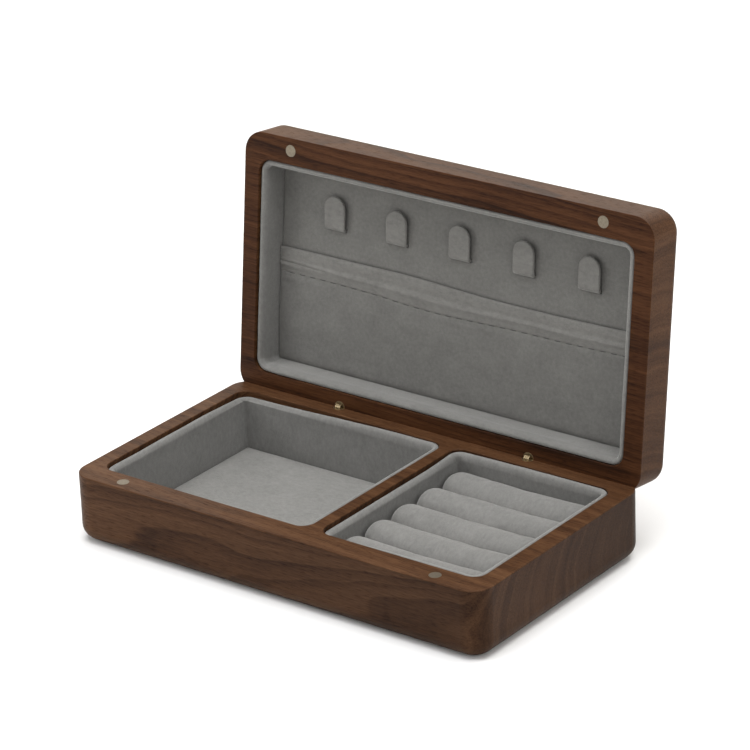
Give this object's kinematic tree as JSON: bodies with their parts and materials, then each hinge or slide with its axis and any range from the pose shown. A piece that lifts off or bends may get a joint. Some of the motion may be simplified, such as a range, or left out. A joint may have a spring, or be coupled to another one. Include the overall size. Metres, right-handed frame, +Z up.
{
  "type": "hinged jewellery box",
  "caption": "Wooden jewellery box with a hinged lid, an open suede-lined tray, padded ring rolls, and necklace tabs and a slip pocket inside the lid.",
  "frame": {"origin": "centre of the flat underside of the base", "axes": "+X across the width to the right seen from the front, +Y from the magnet side to the hinged back, +Z up; the lid stands open"},
  "size_m": [0.178, 0.1249, 0.1224],
  "materials": {
    "walnut_base": "satin oiled walnut",
    "walnut_lid": "satin oiled walnut",
    "suede_lining": "light grey short-nap suede cloth",
    "suede_rolls": "light grey short-nap suede cloth over foam",
    "suede_lid": "light grey short-nap suede cloth",
    "seam_thread": "matte grey thread",
    "magnet_plating": "nickel plated",
    "hinge_brass": "polished"
  },
  "bodies": {
    "base": {"base_case": "walnut_base", "left_tray_liner": "suede_lining", "left_tray_floor": "suede_lining", "right_tray_liner": "suede_lining", "right_tray_floor": "suede_lining", "ring_roll_1": "suede_rolls", "ring_roll_2": "suede_rolls", "ring_roll_3": "suede_rolls", "ring_roll_4": "suede_rolls", "ring_roll_5": "suede_rolls", "base_magnet_left": "magnet_plating", "base_magnet_right": "magnet_plating", "hinge_left_base_barrel": "hinge_brass", "hinge_left_pin": "hinge_brass", "hinge_right_base_barrel": "hinge_brass", "hinge_right_pin": "hinge_brass"},
    "lid": {"lid_case": "walnut_lid", "lid_liner": "suede_lining", "lid_panel": "suede_lid", "necklace_tab_1": "suede_lid", "necklace_tab_2": "suede_lid", "necklace_tab_3": "suede_lid", "necklace_tab_4": "suede_lid", "necklace_tab_5": "suede_lid", "pocket_panel": "suede_lid", "pocket_hem": "suede_lid", "pocket_stitching": "seam_thread", "lid_magnet_left": "magnet_plating", "lid_magnet_right": "magnet_plating", "hinge_left_lid_barrel": "hinge_brass", "hinge_right_lid_barrel": "hinge_brass"}
  },
  "joints": [
    {"name": "lid_hinge", "type": "hinge", "parent": "base", "child": "lid", "pos_m": [0, 0.047, 0.0261], "axis": [1, 0, 0], "range_deg": [0, 96.7]}
  ]
}
